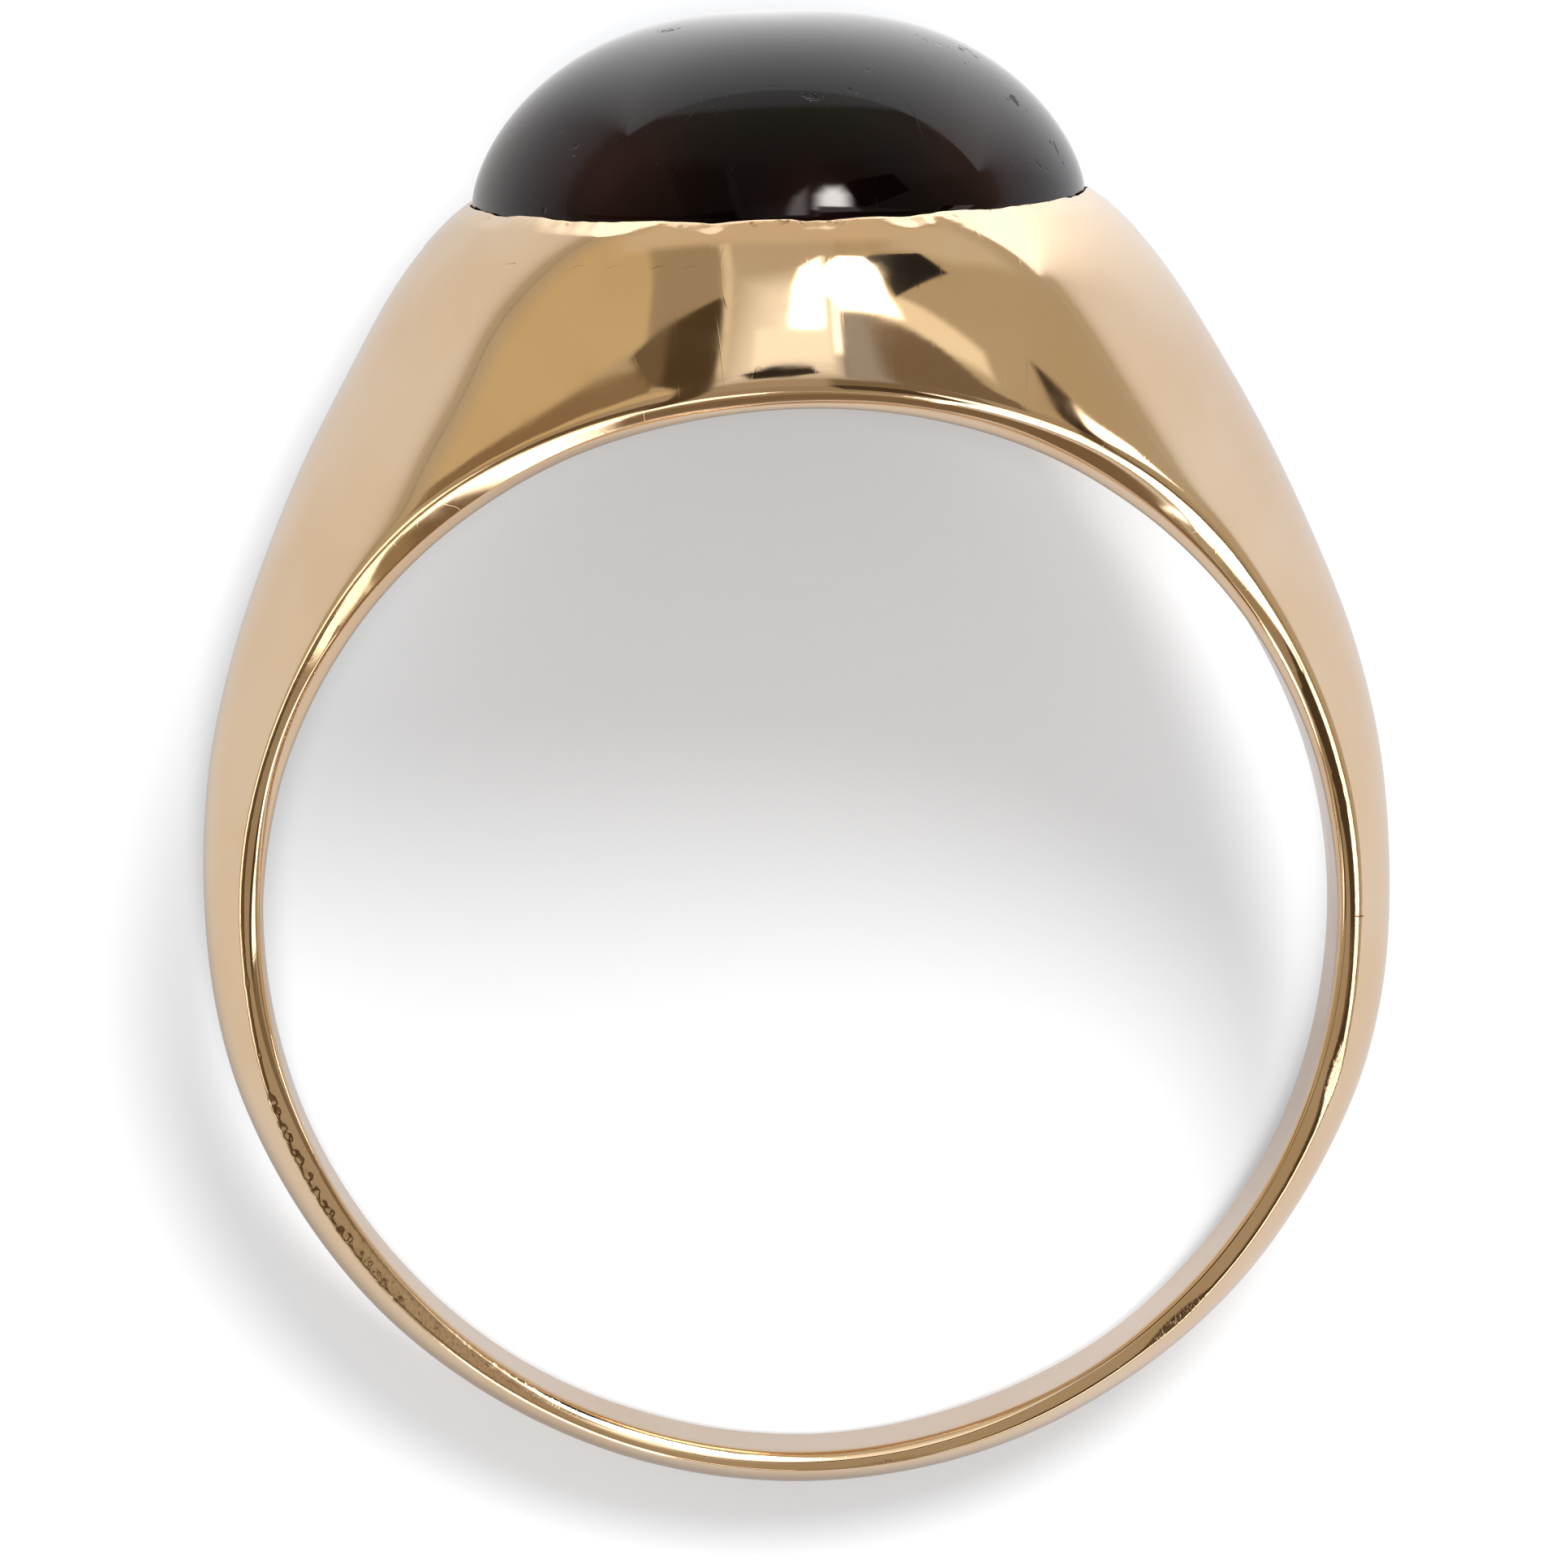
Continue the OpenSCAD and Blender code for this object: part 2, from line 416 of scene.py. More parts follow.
def grid_faces(rows, columns, closed_rows):
    """Quads of a grid whose columns close into a loop, and whose rows may."""
    last = rows if closed_rows else rows - 1
    i, j = np.meshgrid(np.arange(last), np.arange(columns), indexing="ij")
    here, up, right = i * columns, (i + 1) % rows * columns, (j + 1) % columns
    return np.stack([here + j, up + j, up + right, here + right], -1).reshape(-1, 4)


def cut_below(points, faces, height):
    """The part of a mesh below a level, as points, faces and the corners along the cut."""
    work = bmesh.new()
    corners = [work.verts.new(p) for p in points]
    for face in faces:
        work.faces.new([corners[k] for k in face])
    everything = work.verts[:] + work.edges[:] + work.faces[:]
    bmesh.ops.bisect_plane(
        work, geom=everything, plane_co=(0, height, 0), plane_no=(0, 1, 0), clear_outer=True, dist=1e-5
    )
    work.verts.index_update()
    kept = np.array([v.co for v in work.verts])
    kept_faces = [[v.index for v in f.verts] for f in work.faces]
    rim = sorted({v.index for e in work.edges if e.is_boundary for v in e.verts})
    work.free()
    return kept, kept_faces, np.array(rim)


def zip_loops(lower, lower_angles, upper, upper_angles):
    """Triangles between two closed loops of corners that are both sorted by angle."""
    faces, i, j = [], 0, 0
    n, m = len(lower), len(upper)
    while i < n or j < m:
        step_low = lower_angles[(i + 1) % n] + 2 * math.pi * ((i + 1) // n) if i < n else math.inf
        step_up = upper_angles[(j + 1) % m] + 2 * math.pi * ((j + 1) // m) if j < m else math.inf
        if step_low <= step_up:
            faces.append([lower[i % n], upper[j % m], lower[(i + 1) % n]])
            i += 1
        else:
            faces.append([lower[i % n], upper[j % m], upper[(j + 1) % m]])
            j += 1
    return faces


to_scene = bpy.context.scene.collection.objects.link


def mesh_piece(name, points, faces, normals, shares, place, material):
    """A smooth object from points in the shape frame, with four shares for its material at each."""
    mesh = bpy.data.meshes.new(name)
    mesh.from_pydata([tuple(p) for p in points], [], [tuple(int(k) for k in f) for f in faces])
    mesh.transform(place)
    for corner in mesh.vertices:
        corner.co.z = max(corner.co.z, 0.0)
        corner.co.x = min(max(corner.co.x, cad_low[0]), cad_high[0])
    mesh.polygons.foreach_set("use_smooth", np.ones(len(mesh.polygons), bool))
    if normals is not None:
        turned = normals @ np.array(place.to_3x3().normalized()).T
        mesh.normals_split_custom_set_from_vertices([tuple(n) for n in turned])
    mesh.color_attributes.new("shares", "FLOAT_COLOR", "POINT").data.foreach_set("color", shares.ravel())
    mesh.materials.append(material)
    piece = bpy.data.objects.new(name, mesh)
    to_scene(piece)
    return piece


def oval(angles, half_w, half_l, height):
    """Points of an oval ring about the stone's axis."""
    height = np.broadcast_to(height, angles.shape)
    return np.stack([half_w * np.cos(angles), height, half_l * np.sin(angles)], -1)


# The setting's rim: how far each loop has moved from the outline to the seat's wall, and its height
RIM_LOOPS = [
    (0, 11.45), (0, 11.52), (0, 11.6), (0, 11.68), (0, 11.76), (0, 11.83), (0, 11.89), (0, 11.94),
    (0.01, 11.98), (0.05, 12.02), (0.13, 12.055), (0.26, 12.08), (0.42, 12.092), (0.6, 12.096),
    (0.78, 12.088), (0.92, 12.062), (1, 12.02), (1, 11.9), (1, 11.6), (1, 11.2),
    (1, RIM_HEIGHT - STONE_SUNK - SEAT_GAP),
]
RIM_SKIN_LOOPS = 6

# How unevenly the rim is burnished: waves by seed, least and greatest number round it, how many and their
# share, and dents by turn in radians, width and depth
RIM_HEIGHT_WAVE, RIM_EDGE_WAVE, RIM_SAG = 0.016, 0.016, 1.3
RIM_SAG_WAVES = [(21, 6, 30, 10, 1.0), (22, 40, 90, 12, 0.22)]
RIM_EDGE_WAVES = [(23, 8, 40, 10, 1.0), (24, 40, 90, 12, 0.25)]
RIM_DENTS = [
    (-2.35, 0.05, 0.05), (-2.21, 0.035, 0.04), (-1.72, 0.06, 0.045), (-1.38, 0.045, 0.05), (-0.9, 0.04, 0.04),
]

# The heights and the share of the way inwards over which that unevenness grows
LIP_HEIGHTS, WALL_HEIGHTS, LIP_WAY = (11.8, 12.05), (11.2, 12.0), (0.3, 1.0)


def around_waves(angles, rows):
    """Seeded unevenness round a closed loop."""
    total = 0
    for seed, slowest, fastest, count, share in rows:
        draw = np.random.default_rng(seed)
        turns = draw.integers(slowest, fastest, count)
        wave = sum(np.sin(k * angles + draw.uniform(0, 2 * math.pi)) for k in turns)
        total = total + share * (wave * math.sqrt(2 / count))
    return total


def rim_unevenness(angles):
    """How far the rim sags and how far its edge wanders, round the stone."""
    sag = RIM_HEIGHT_WAVE * (around_waves(angles, RIM_SAG_WAVES) - RIM_SAG)
    for middle, width, depth in RIM_DENTS:
        off = (angles - middle + math.pi) % (2 * math.pi) - math.pi
        sag = sag - depth * falling(off, width)
    return sag, RIM_EDGE_WAVE * around_waves(angles, RIM_EDGE_WAVES)


def rim_points():
    """Loops of corners up the head's last stretch, over the lip, and down the seat's wall."""
    angles = np.arange(HEAD_COLUMNS) / HEAD_COLUMNS * 2 * math.pi
    seat_w, seat_l = STONE_W / 2 + SEAT_GAP, STONE_L / 2 + SEAT_GAP
    sag, edge = rim_unevenness(angles)
    loops = []
    for inwards, height in RIM_LOOPS:
        on_outline = min(height, RIM_HEIGHT)
        w = half_width(on_outline)
        length = w * length_ratio(on_outline)
        on_lip = smooth_share(height, *(LIP_HEIGHTS if inwards < 1 else WALL_HEIGHTS))
        outwards = edge * on_lip * smooth_share(inwards, *LIP_WAY)
        across = w + (seat_w - w) * inwards + outwards
        along = length + (seat_l - length) * inwards + outwards
        loops.append(oval(angles, across, along, height + np.minimum(sag * on_lip, 0)))
    return angles, np.array(loops)


def loft_normals(points, faces):
    """Corner normals of a mesh, averaged over its faces."""
    normals = np.zeros_like(points)
    for face in faces:
        a, b, c = points[face[0]], points[face[1]], points[face[2]]
        n = np.cross(b - a, c - a)
        if len(face) == 4:
            n = n + np.cross(c - a, points[face[3]] - a)
        normals[face] += n
    return normals / np.maximum(np.linalg.norm(normals, axis=1, keepdims=True), 1e-12)


def ring_mesh():
    """Points, faces, normals and shares of all the gold."""
    sections = gold_sections()
    faces = grid_faces(SECTIONS, SECTION_POINTS, True)
    points, faces, cut = cut_below(sections.reshape(-1, 3), faces, HEAD_CUT)
    squash = float(length_ratio(HEAD_CUT))
    around = np.arctan2(points[cut, 2] / squash, points[cut, 0]) % (2 * math.pi)
    order = np.argsort(around)
    cut, around = cut[order], around[order]
    w = float(half_width(HEAD_CUT))
    points[cut] = oval(around, w, w * squash, HEAD_CUT)
    skin_count = len(points)
    angles, loops = rim_points()
    rows = len(loops)
    rim_faces = grid_faces(rows, HEAD_COLUMNS, False) + skin_count
    first = skin_count + np.arange(HEAD_COLUMNS)
    seam = zip_loops(cut, around, first, angles)
    floor_centre = skin_count + rows * HEAD_COLUMNS
    last = floor_centre - HEAD_COLUMNS + np.arange(HEAD_COLUMNS)
    seat_floor = [[last[k], floor_centre, last[(k + 1) % HEAD_COLUMNS]] for k in range(HEAD_COLUMNS)]
    centre = [[0, RIM_LOOPS[-1][1], 0]]
    points = np.concatenate([points, loops.reshape(-1, 3), centre])
    faces = faces + [list(f) for f in rim_faces] + seam + seat_floor
    normals = loft_normals(points, faces)
    smooth = skin_count + RIM_SKIN_LOOPS * HEAD_COLUMNS
    free = np.ones(skin_count, bool)
    free[cut] = False
    points[:skin_count][free] = onto_surface(outside_worn_gold, points[:skin_count][free])
    normals[:smooth] = gradient(outside_worn_gold, points[:smooth])
    return points, faces, normals, wear_shares(points, skin_count)


# How far the looks of edges, filed side, flats, hole's wall and rim reach, and the turns that are scratched
EDGE_REACH, SIDE_REACH, FLAT_REACH, LINING_REACH = 0.07, 0.05, 0.012, 0.02
FLAT_MARK_SQUARED = 1.2
RIM_REACH = (11.93, 12.06)
SCRATCHED_TURNS = (210, 220, 238, 246)


def wear_shares(points, skin_count):
    """How near an edge each corner is, how scratched, how near the rim, and if it lines the hole."""
    outline, side, hole = (np.abs(f) for f in gold_fields(points))
    edges = falling(np.maximum(outline, side), EDGE_REACH) + falling(np.maximum(side, hole), EDGE_REACH)
    turn = turn_of(points) % 360
    filed = falling(side, SIDE_REACH) * (points[:, 2] > 0)
    scratched = filed * between(turn, *SCRATCHED_TURNS)
    for flat in FLATS:
        close = ((points - flat[0]) ** 2).sum(1) < FLAT_MARK_SQUARED
        scratched = np.maximum(scratched, falling(beyond_flat(points, flat), FLAT_REACH) * close)
    rim = smooth_share(points[:, 1], *RIM_REACH)
    lining = falling(hole, LINING_REACH) * (np.arange(len(points)) < skin_count)
    return np.stack([np.minimum(edges, 1), scratched, rim, lining], -1)


DOME_ROWS = 72
DOME_COLUMNS = 288
GIRDLE_BEVEL = 0.35
DOME_INSET = 0.0005


def stone_mesh():
    """Points, faces and shares of the garnet: flat back, upright girdle and high dome."""
    half_l = STONE_L / 2
    squash = STONE_W / STONE_L
    angles = np.arange(DOME_COLUMNS) / DOME_COLUMNS * 2 * math.pi
    flank_power = DOME_FLANK_POWER + LONG_FLANK_EXTRA * np.sin(angles) ** 2
    loops = [
        oval(angles, squash * (half_l - GIRDLE_BEVEL), half_l - GIRDLE_BEVEL, RIM_HEIGHT - STONE_SUNK),
        oval(angles, squash * half_l, half_l, RIM_HEIGHT + GIRDLE_BEVEL - STONE_SUNK),
    ]
    for up in np.linspace(0, math.pi / 2, DOME_ROWS, endpoint=False):
        r = half_l * math.cos(up) ** (2 / DOME_TOP_POWER)
        height = RIM_HEIGHT + (DOME_H - DOME_INSET) * math.sin(up) ** flank_power
        loops.append(oval(angles, squash * r, r, height))
    count = len(loops) * DOME_COLUMNS
    tips = [[0, RIM_HEIGHT - STONE_SUNK, 0], [0, RIM_HEIGHT + DOME_H - DOME_INSET, 0]]
    points = np.concatenate([*loops, tips])
    faces = [list(f) for f in grid_faces(len(loops), DOME_COLUMNS, False)]
    top = count - DOME_COLUMNS
    for k in range(DOME_COLUMNS):
        following = (k + 1) % DOME_COLUMNS
        faces.append([following, count, k])
        faces.append([top + k, count + 1, top + following])
    return points, faces, None, glow_shares(points)


# Where a red glow is painted on the garnet, standing in for light that comes back out of it: across, height
# above the rim, along the finger, reach, and share. Each place has its like on the far side.
PAINTED_GLOWS = [
    (-3.1, 0.35, 4.2, 1.5, 1.0), (3.4, 0.5, 3.8, 1.3, 0.9), (0.4, 0.3, 6.0, 0.9, 0.35),
    (1.6, 3.0, -1.0, 1.6, 0.25),
]

# Where the garnet is chipped and pitted, in the same way, but on one side only
CHIPPED = [
    (1.52, 2.34, 3.5, 0.20, 1.0), (1.17, 2.05, 4.2, 0.16, 0.9), (3.16, 2.39, 1.0, 0.35, 0.9),
    (2.6, 2.75, 1.4, 0.35, 0.8), (3.9, 1.6, 2.1, 0.35, 0.95), (3.5, 2.2, 1.9, 0.3, 0.85),
    (-3.65, 1.37, 3.0, 0.15, 1.0), (-3.4, 1.1, 3.6, 0.2, 1.0), (-1.8, 2.9, 1.2, 0.3, 0.8),
    (4.6, 0.7, 2.0, 0.3, 0.85), (4.3, 0.5, 2.9, 0.25, 0.8), (0.5, 1.9, 4.4, 0.2, 0.75),
]


def glow_shares(points):
    """At each corner of the garnet, how much painted red glow it has, nothing, and how chipped it is."""
    glow, worn = np.zeros((2, len(points)))
    for x, h, z, reach, share in PAINTED_GLOWS:
        for there in (z, -z):
            glow += share * closeness(points, np.array([x, RIM_HEIGHT + h, there]), reach)
    for x, h, z, reach, share in CHIPPED:
        worn = np.maximum(worn, share * closeness(points, np.array([x, RIM_HEIGHT + h, z]), reach))
    return np.stack([np.minimum(glow, 1), np.zeros(len(points)), worn, np.ones(len(points))], -1)


def resting_place(record):
    """Carries the shape frame, in millimetres, to the row frame, in metres."""
    hole = next(m for m in record["mounts"] if m["name"] == "finger_hole")
    axis = Vector(hole["axis"])
    lean = math.atan2(-axis.y, axis.z)
    return Matrix.Translation(Vector(hole["pos_m"])) @ Matrix.Rotation(lean, 4, "X") @ Matrix.Scale(MM, 4)


# The camera in the shape frame: what it looks at, from how far, and how it leans
CAMERA_TARGET = (-0.18, 2.17, 0.0)
CAMERA_DISTANCE = 260.0
CAMERA_RISE = 6.0
CAMERA_YAW = 1.6
CAMERA_ROLL = -1.6
CAMERA_LENS = 354.87


def photo_camera(place):
    rise, yaw, roll = (math.radians(a) for a in (CAMERA_RISE, CAMERA_YAW, CAMERA_ROLL))
    back = Vector((-math.sin(yaw), math.sin(rise), 0))
    back.z = math.sqrt(1 - back.length_squared)
    right = (-back).cross(Vector((0, 1, 0))).normalized()
    up = right.cross(-back)
    turned_right = math.cos(roll) * right + math.sin(roll) * up
    turned_up = math.cos(roll) * up - math.sin(roll) * right
    spin = Matrix((turned_right, turned_up, back)).transposed()
    data = bpy.data.cameras.new("photo_camera")
    data.lens, data.sensor_width = CAMERA_LENS, 36
    data.clip_start, data.clip_end = 0.01, 10
    camera = bpy.data.objects.new("photo_camera", data)
    turn = place.to_3x3().normalized() @ spin
    eye = place @ (Vector(CAMERA_TARGET) + CAMERA_DISTANCE * back)
    camera.matrix_world = Matrix.Translation(eye) @ turn.to_4x4()
    to_scene(camera)
    bpy.context.scene.camera = camera


def add_node(tree, kind, inputs=None, **settings):
    """A new node with its settings, and its inputs linked or set."""
    node = tree.nodes.new("ShaderNode" + kind)
    for name, value in settings.items():
        setattr(node, name, value)
    for name, value in (inputs or {}).items():
        if isinstance(value, bpy.types.NodeSocket):
            tree.links.new(value, node.inputs[name])
        else:
            node.inputs[name].default_value = value
    return node


def maths(tree, operation, *values, clamp=False):
    return add_node(tree, "Math", dict(enumerate(values)), operation=operation, use_clamp=clamp).outputs[0]


def times(tree, a, b):
    return maths(tree, "MULTIPLY", a, b)


def ramp(tree, value, low, high, start=0.0, end=1.0):
    """A value's smooth way from start to end, as it goes from low to high."""
    inputs = {"Value": value, "From Min": low, "From Max": high, "To Min": start, "To Max": end}
    return add_node(tree, "MapRange", inputs, interpolation_type="SMOOTHSTEP").outputs[0]


def mixed(tree, share, first, second):
    """Two colours mixed, from the first at share 0 to the second at share 1."""
    node = add_node(tree, "Mix", data_type="RGBA", blend_type="MIX")
    for socket, value in zip((node.inputs[0], node.inputs[6], node.inputs[7]), (share, first, second)):
        if isinstance(value, bpy.types.NodeSocket):
            tree.links.new(value, socket)
        else:
            socket.default_value = value if socket is node.inputs[0] else (*value, 1)
    return node.outputs[2]


# What the gold and the stone mirror: a dome of soft-edged panels, later ones over earlier ones. Each has
# corners in degrees from the zenith, X to the right and Y away from the camera, a colour and a softness.
ROOM_COLOUR = (0.47, 0.405, 0.29)
HORIZON_COLOUR = (0.46, 0.41, 0.32)
PANELS = [
    ("south_wall", [(-75, -2), (75, -2), (75, -70), (-75, -70)], (0.385, 0.325, 0.235), 6),
    ("south_far", [(-75, -42), (75, -42), (75, -88), (-75, -88)], (0.33, 0.27, 0.19), 16),
    ("south_west", [(-50, -30), (-19, -36), (-17, -62), (-52, -58)], (0.13, 0.095, 0.06), 3),
    ("south_east", [(9, -11), (30, -9), (46, -12), (50, -40), (9, -40)], (0.20, 0.155, 0.10), 4),
    ("south_east_dark", [(8, -35), (46, -31), (52, -60), (10, -64)], (0.07, 0.05, 0.03), 2),
    ("window_right", [(16, -90), (18, -80), (38, -54), (56, -45), (54, -66), (32, -89)], (2.6, 2.5, 2.3), 2),
    ("window_right_top", [(28, -34), (38, -52), (62, -42), (60, -30)], (2.2, 2.1, 1.95), 2),
    (
        "window_left", [(-1, -100), (0, -77), (-12, -72), (-30, -70), (-32, -92), (-28, -100)],
        (1.9, 1.8, 1.65), 2,
    ),
    ("left_glint", [(-56, -50), (-54, -38), (-72, -20), (-79, -30)], (1.6, 1.55, 1.4), 2.5),
    ("left_wall", [(-66, 86), (-39, 76), (-38, 8), (-66, 10), (-92, 7), (-96, 29)], (0.58, 0.48, 0.30), 3),
    ("lower_left", [(-84, 18), (-36, 7), (-36, -1), (-84, 2)], (0.25, 0.18, 0.105), 1.6),
    ("lower_left_lit", [(-70, 1), (-30, -3), (-28, -11), (-70, -8)], (0.58, 0.47, 0.28), 2.4),
    (
        "shaded_wall", [(-39, 68), (-33, 64), (-22, 56), (-19.5, 50), (-19, 5), (-39, 5)],
        (0.35, 0.295, 0.205), 2,
    ),
    ("curtain", [(-19, -3), (-19, 66), (13.5, 66), (13.5, -3)], (0.515, 0.46, 0.365), 1),
    ("cornice", [(-46, 58), (-44, 90), (50, 90), (50, 58), (0, 52)], (0.63, 0.555, 0.43), 9),
    ("curtain_glow", [(-15, -8), (-10, 24), (12, 28), (14, -8)], (1.0, 0.97, 0.90), 18),
    ("curtain_edge", [(-19.3, -1), (-19.3, 54), (-16.6, 54), (-16.6, -1)], (0.74, 0.68, 0.55), 1.4),
    (
        "dark_corner", [(-43.5, 11.5), (-20.5, 21.6), (-19.2, 21), (-19.2, -1), (-26, -6), (-36, 3)],
        (0.075, 0.052, 0.028), 0.7,
    ),
    ("dark_corner_left", [(-43.5, 11.5), (-33, 16), (-33, 2), (-37, 3)], (0.16, 0.12, 0.075), 3),
    ("right_glow", [(30, 50), (36, 72), (58, 72), (66, 50), (50, 44)], (0.60, 0.55, 0.45), 10),
    ("rim_glow", [(27, 12.5), (31, 21), (37, 18.5), (53, 13.5), (54, 7), (40, 7.5)], (0.95, 0.87, 0.70), 3),
    (
        "grey_wall", [(14.3, 15.2), (26, 13.2), (40, 8.4), (58, 5), (57, -10), (14.3, -10)],
        (0.19, 0.145, 0.10), 0.8,
    ),
    ("grey_wall_lit", [(13.8, 16), (22, 14), (26, -12), (13.8, -12)], (0.34, 0.33, 0.325), 6),
    (
        "soft_light",
        [(13, 20.5), (13, 34), (16, 39), (20, 39), (23.4, 34), (25, 20.5), (22, 17), (15.5, 17)],
        (96, 93.5, 90), 7,
    ),
    ("soft_light_skirt", [(12.5, 13.5), (12.5, 24), (28, 21), (31, 13)], (5.0, 4.85, 4.5), 3),
    ("soft_light_low", [(11.7, 16), (14.2, 16), (14.2, 1), (11.7, 1)], (2.0, 1.9, 1.75), 1.2),
    ("soft_light_side", [(1, 8), (2, 24), (4, 33), (8, 38), (8.6, 4), (4, 3)], (12, 11.7, 11), 4.4),
    ("zenith_light", [(-9, 8), (11, 8), (11, -1.4), (-9, -1.4)], (1.15, 1.1, 1.0), 3),
    ("flag", [(22.3, 41), (25, 44), (39.5, 48), (47.5, 37), (31, 20)], (0.02, 0.02, 0.02), 0.6),
    (
        "camera_front", [(-12, -3.4), (-4, -2.2), (5, -3), (6.8, -7), (0, -9.6), (-9, -9)],
        (0.03, 0.024, 0.018), 1,
    ),
    ("south_post", [(-28, -1), (-19, -1), (-17, -74), (-24, -74)], (0.08, 0.055, 0.03), 1.5),
    ("right_post", [(65.5, 17), (70.8, 17), (71.2, -6), (66.5, -6)], (0.05, 0.035, 0.025), 0.8),
    ("right_post_low", [(66.5, -6), (71.2, -6), (63.5, -38), (59, -36)], (0.13, 0.1, 0.065), 0.8),
    ("right_post_far", [(59, -36), (63.5, -38), (60, -66), (56, -64)], (0.13, 0.1, 0.065), 0.8),
    ("right_light", [(71.2, 16), (80.8, 15), (82, -6), (71.6, -6)], (2.6, 2.5, 2.4), 0.8),
]
FAR_PANELS = [("backdrop", [(-56, 81.5), (54, 81.5), (66, 100), (-68, 100)], (1.12, 1.1, 1.07), 3)]

# Colours brighter than this keep their own near the horizon, where the others turn into the horizon's
BRIGHT = 1.08
HORIZON_FROM = (80, 91)
ROOM_RADIUS = 2.0
ROOM_STEP = 0.75
ROOM_EDGE = 104.0


def inside_panel(x, y, corners, softness):
    """1 well inside a panel with corners in order, 0 outside, soft in between."""
    corners = np.array(corners, float)
    following = np.roll(corners, -1, axis=0)
    area = (corners[:, 0] * following[:, 1] - following[:, 0] * corners[:, 1]).sum()
    depth = np.full(x.shape, np.inf)
    for (ax, ay), (bx, by) in zip(corners, following):
        left_of = ((bx - ax) * (y - ay) - (by - ay) * (x - ax)) / math.hypot(bx - ax, by - ay)
        depth = np.minimum(depth, left_of * math.copysign(1, area))
    return smooth_share(depth, -softness / 2, softness / 2)


def painted(colour, x, y, panels):
    """A colour at each place, with panels painted over it."""
    for _, corners, paint, softness in panels:
        share = inside_panel(x, y, corners, softness)[..., None]
        colour = colour + (np.array(paint) - colour) * share
    return colour


def room_colours(x, y):
    """The dome's colour at places in degrees from the zenith."""
    low = smooth_share(np.hypot(x, y), *HORIZON_FROM)[..., None]
    colour = painted(np.array(ROOM_COLOUR) * np.ones((*x.shape, 1)), x, y, PANELS)
    bright = colour.max(-1, keepdims=True) > BRIGHT
    colour = np.where(bright, colour, colour + (np.array(HORIZON_COLOUR) - colour) * low)
    return painted(colour, x, y, FAR_PANELS)


def stage_mesh(name, points, faces, material, **visibility):
    mesh = bpy.data.meshes.new(name)
    mesh.from_pydata(points, [], faces)
    mesh.materials.append(material)
    piece = bpy.data.objects.new(name, mesh)
    for ray, seen in visibility.items():
        setattr(piece, "visible_" + ray, seen)
    to_scene(piece)
    return mesh


def empty_material(name):
    """A new material with no nodes in it."""
    material = bpy.data.materials.new(name)
    material.use_nodes = True
    material.node_tree.nodes.clear()
    return material, material.node_tree


def mirrored_room():
    """The dome that only mirroring surfaces see. It lights nothing else."""
    ticks = np.arange(-ROOM_EDGE, ROOM_EDGE + ROOM_STEP, ROOM_STEP)
    x, y = (g.ravel() for g in np.meshgrid(ticks, ticks, indexing="ij"))
    angle, turn = np.radians(np.hypot(x, y)), np.arctan2(y, x)
    out = np.sin(angle)
    points = ROOM_RADIUS * np.stack([out * np.cos(turn), out * np.sin(turn), np.cos(angle)], -1)
    n = len(ticks)
    quads = grid_faces(n, n, True).reshape(n, n, 4)[: n - 1, : n - 1].reshape(-1, 4)
    quads = quads[(angle[quads] < math.radians(ROOM_EDGE)).all(1)]
    material, tree = empty_material("mirrored_room")
    paint = add_node(tree, "VertexColor", layer_name="paint")
    from_paper = add_node(tree, "LightPath").outputs["Diffuse Depth"]
    strength = maths(tree, "SUBTRACT", 1.0, from_paper, clamp=True)
    glow = add_node(tree, "Emission", {"Color": paint.outputs["Color"], "Strength": strength})
    add_node(tree, "OutputMaterial", {"Surface": glow.outputs[0]})
    material.cycles.emission_sampling = "NONE"
    hidden = {"camera": False, "diffuse": False, "shadow": False}
    mesh = stage_mesh("mirrored_room", points.tolist(), quads.tolist(), material, **hidden)
    colours = np.concatenate([room_colours(x, y), np.ones((len(x), 1))], 1)
    mesh.color_attributes.new("paint", "FLOAT_COLOR", "POINT").data.foreach_set("color", colours.ravel())


# Soft lights on the paper: degrees from the zenith, direction, half width in degrees, and how much they give
LIGHTS = {"key_light": (30.3, 52.4, 15.2, 0.55), "fill_light": (16.5, -91.0, 5.0, 0.36)}
LIGHT_DISTANCE = 2.5
PAPER_WHITE = 0.9
AMBIENT_TOP = 0.24
AMBIENT_SIDE = 0.76
AMBIENT_TINT = (0.955, 1.0, 1.055)
BACKDROP = (0.93, 0.93, 0.93)


def soft_light(name, tilt, turn, half_width_deg, share):
    """A round soft light that gives the paper under it a share of full white."""
    tilt, turn = math.radians(tilt), math.radians(turn)
    away = Vector((math.sin(tilt) * math.cos(turn), math.sin(tilt) * math.sin(turn), math.cos(tilt)))
    data = bpy.data.lights.new(name, "AREA")
    data.shape = "DISK"
    data.size = 2 * LIGHT_DISTANCE * math.tan(math.radians(half_width_deg))
    data.energy = share * (math.pi * LIGHT_DISTANCE) ** 2 / (PAPER_WHITE * math.cos(tilt))
    light = bpy.data.objects.new(name, data)
    light.visible_glossy = False
    facing = away.to_track_quat("Z", "Y").to_matrix().to_4x4()
    light.matrix_world = Matrix.Translation(LIGHT_DISTANCE * away) @ facing
    to_scene(light)


